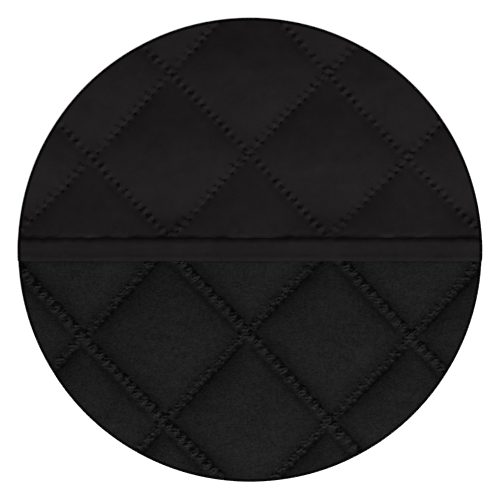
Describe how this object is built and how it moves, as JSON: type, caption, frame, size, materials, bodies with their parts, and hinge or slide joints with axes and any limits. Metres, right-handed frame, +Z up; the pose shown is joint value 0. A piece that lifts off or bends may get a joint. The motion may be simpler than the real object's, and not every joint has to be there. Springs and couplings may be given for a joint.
{
  "type": "quilted recliner cover cut piece",
  "caption": "Round cut piece of a quilted recliner cover, lying flat: the face layer with its bound edge lies over the brushed reverse.",
  "frame": {"origin": "on the surface that it lies on, under the middle of the round piece", "axes": "+Z up, +X along the bound edge, +Y from the bound edge towards the face cloth"},
  "size_m": [0.28, 0.28, 0.0093],
  "materials": {
    "reverse_pile": "short brushed pile, matt black",
    "face_microfibre": "smooth brushed microfibre, matt black with a warm tinge",
    "binding_cloth": "smooth folded microfibre strip, matt black"
  },
  "bodies": {
    "root": {"reverse_cloth": "reverse_pile", "face_cloth": "face_microfibre", "edge_binding": "binding_cloth"}
  },
  "joints": []
}
